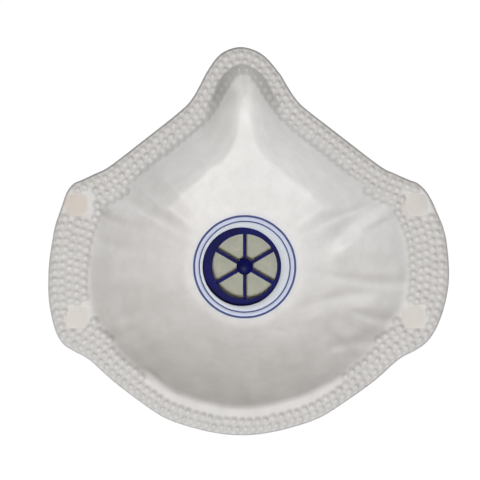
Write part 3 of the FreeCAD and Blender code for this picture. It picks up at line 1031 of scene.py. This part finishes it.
def diaphragmRubber():
    # grey-green rubber: soft mottling, matt talc dust in patches
    made, shader, place = startMaterial("diaphragmRubber", Specular_IOR_Level=0.35)
    mottle = place.noise(place, rubber["mottle"], 5.0, 0.65)
    dust = place.noise(place, rubber["dust"], 3.0, 0.6)
    colour = place.mix((mottle * 0.8 + dust * 0.3).above(0.3, 0.8), rubber["dark"], rubber["pale"])
    feed(shader, place, Base_Color=colour, Roughness=0.55 + dust * 0.25,
         Normal=bumped(place, dust + mottle, 0.2, 0.05))
    return made


metal = {"brushed": (90.0, 2500.0, 2500.0), "smudge": 140.0, "dull": (0.36, 0.37, 0.385, 1),
         "bright": (0.52, 0.53, 0.54, 1)}


def clipMetal():
    # rolled aluminium: long brushing lines along the strip, and dull smudges
    made, shader, place = startMaterial("clipMetal", Metallic=1.0)
    brushed = place.noise(place.stretched(place, metal["brushed"]), 1.0, 3.0, 0.6)
    smudge = place.noise(place, metal["smudge"], 4.0, 0.6)
    colour = place.mix(smudge.above(0.35, 0.7), metal["dull"], metal["bright"])
    feed(shader, place, Base_Color=colour, Roughness=0.24 + brushed * 0.16 + smudge * 0.14,
         Normal=bumped(place, brushed, 0.25, 0.04))
    return made


# stitch and rib lengths in the band's own units, of 10 mm
knit = {"stitch": 0.09, "rib": 0.115, "sway": 1.2, "fuzz": 2500.0, "dark": (0.62, 0.61, 0.58, 1),
        "pale": (0.86, 0.85, 0.82, 1)}


def bandElastic():
    # knitted elastic on the band's own length and width: ribs along it, stitches across it, and fuzz
    made, shader, place = startMaterial("bandElastic", Sheen_Weight=0.2, Specular_IOR_Level=0.25)
    u, v = xyz(place.node("UVMap", {"uv_map": "along"}))[:2]
    rib = place.math("SINE", v * (2 * math.pi / knit["rib"]))
    stitch = place.math("SINE", u * (2 * math.pi / knit["stitch"]) + rib * knit["sway"])
    fuzz = place.noise(place, knit["fuzz"], 3.0, 0.6)
    shade = (stitch * 0.25 + rib * 0.25 + fuzz * 0.6).above(-0.1, 0.75)
    relief = stitch * 0.4 + rib * 0.4 + fuzz * 0.3
    feed(shader, place, Base_Color=place.mix(shade, knit["dark"], knit["pale"]), Roughness=0.75 + fuzz * 0.2,
         Normal=bumped(place, relief, 0.5, 0.15))
    return made


def dress(made, material, body="mask"):
    made.data.materials.clear()
    made.data.materials.append(material)
    if body:
        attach(made, body)
    return made


print("web layers")
facing = dress(innerFacing(), facingWeb())
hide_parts("inner_facing")
cover = dress(outerCover(), coverWeb())
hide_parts("outer_cover")
midLayers = [
    ("electretFilter", "electret_filter", "filter_web", (0.72, 0.74, 0.76, 1), (0.86, 0.88, 0.90, 1), 5000.0),
    ("feltPrefilter", "prefilter", "prefilter_web", (0.74, 0.73, 0.70, 1), (0.88, 0.87, 0.84, 1), 2500.0),
    ("supportShell", "support_shell", "shell_web", (0.78, 0.77, 0.74, 1), (0.86, 0.85, 0.83, 1), 1600.0),
]
for pieceName, node, slotName, low, high, scale in midLayers:
    made = dress(midLayer(pieceName, node), filterWeb(pieceName + "Web", low, high, scale))
    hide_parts(node)

flatWidth = 2 * cup["halfWidth"] * mm
flatHeight = (cup["noseHeight"] + cup["chinDrop"]) * mm
shoelace = rimFine[:, 0] * np.roll(rimFine[:, 1], -1) - rimFine[:, 1] * np.roll(rimFine[:, 0], -1)
flatArea = abs(shoelace.sum()) / 2 * mm * mm

print("nose clip")
strip = dress(noseClip(), clipMetal())
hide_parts("nose_clip")

print("headbands")
elastic = bandElastic()
for pieceName, node, ends, body, height in (
    ("upperHeadband", "upper_headband", "upper_band_ends", "upper_band", welds["upperZ"]),
    ("lowerHeadband", "lower_headband", "lower_band_ends", "lower_band", welds["lowerZ"]),
):
    band = dress(headband(pieceName, node, height), elastic, None)
    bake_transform(band)
    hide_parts(node, ends)

print("valve")
navy = navyPlastic("navyPlastic", (0.0012, 0.0012, 0.035, 1), (0.003, 0.004, 0.11, 1), 0.26)
capBlue = navyPlastic("capBlue", (0.014, 0.03, 0.16, 1), (0.03, 0.06, 0.27, 1), 0.24)
for node, material in (
    ("valve_base", navy), ("diaphragm_retainer", navy), ("valve_cover", capBlue),
    ("valve_diaphragm", diaphragmRubber()),
):
    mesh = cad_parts[node].data
    mesh.materials.clear()
    mesh.materials.append(material)

print("camera, floor and light")
view = {
    "across": 166.3,             # width of the picture at the mask
    "centreX": -1.66,
    "centreZ": 9.42,
    "distance": 2000.0,
    "sensor": 36.0,
    "farthest": 50.0,            # in metres
}
lens = bpy.data.cameras.new("view")
lens.sensor_width = view["sensor"]
lens.lens = view["sensor"] * view["distance"] / view["across"]
lens.clip_end = view["farthest"]
camera = bpy.data.objects.new("view", lens)
camera.location = (view["centreX"] * mm, -view["distance"] * mm, view["centreZ"] * mm)
camera.rotation_euler = (math.pi / 2, 0, 0)
bpy.context.scene.collection.objects.link(camera)
bpy.context.scene.camera = camera


def areaLight(name, place, target, size, watts, colour):
    # a soft square lamp turned to its target
    lamp = bpy.data.lights.new(name, "AREA")
    lamp.shape = "SQUARE"
    lamp.size = size
    lamp.energy = watts
    lamp.color = colour
    made = bpy.data.objects.new(name, lamp)
    made.location = place
    way = np.array(target) - np.array(place)
    tilt = math.atan2(math.hypot(way[0], way[1]), -way[2])
    made.rotation_euler = (tilt, 0, math.atan2(way[1], way[0]) - math.pi / 2)
    bpy.context.scene.collection.objects.link(made)


# name, place and target in metres, side, watts, colour
lamps = [
    ("keyLamp", (-0.12, -1.2, -0.38), (0, 0.02, 0.01), 0.35, 13.8, (1.0, 1.0, 1.0)),
    ("fillLamp", (0.40, -1.0, 0.9), (0, 0.02, 0.01), 0.6, 1.9, (1.0, 0.80, 0.62)),
    ("backLeft", (-0.8, 1.1, 0.35), (0, 0.02, 0.01), 0.5, 13.0, (1.0, 0.99, 0.97)),
    ("backRight", (0.9, 0.8, 0.7), (0, 0.02, 0.01), 0.5, 7.0, (0.95, 0.98, 1.0)),
    ("topLamp", (0.0, 0.3, 1.3), (0, 0.03, 0.0), 0.7, 4.5, (0.97, 0.99, 1.0)),
]
for lampSet in lamps:
    areaLight(*lampSet)

room = {"strength": 1.02, "floorHalf": 20.0, "floorZ": -0.64, "toneScale": 3.0}

world = bpy.data.worlds.new("paleRoom")
world.use_nodes = True
world.node_tree.nodes["Background"].inputs["Color"].default_value = (1, 1, 1, 1)
world.node_tree.nodes["Background"].inputs["Strength"].default_value = room["strength"]
world.cycles_visibility.diffuse = False
bpy.context.scene.world = world
bpy.context.scene.view_settings.view_transform = "Standard"


def paleFloor():
    # a wide flat sheet that stays white by its own glow, and adds no diffuse light to the mask
    half = room["floorHalf"]
    mesh = bpy.data.meshes.new("floor")
    corners = [(x * half, y * half, room["floorZ"]) for x, y in ((-1, -1), (1, -1), (1, 1), (-1, 1))]
    mesh.from_pydata(corners, [], [(0, 1, 2, 3)])
    made = bpy.data.objects.new("floor", mesh)
    bpy.context.scene.collection.objects.link(made)
    material, shader, place = startMaterial("floorWhite", Roughness=0.9, Emission_Strength=1.0)
    cloud = place.noise(place, room["toneScale"]).above(0.3, 0.7)
    tone = place.mix(cloud, (0.985, 0.985, 0.985, 1), (1.0, 1.0, 1.0, 1))
    feed(shader, place, Base_Color=tone, Emission_Color=tone)
    mesh.materials.append(material)
    made.visible_diffuse = False


paleFloor()

print("pieces are in place")
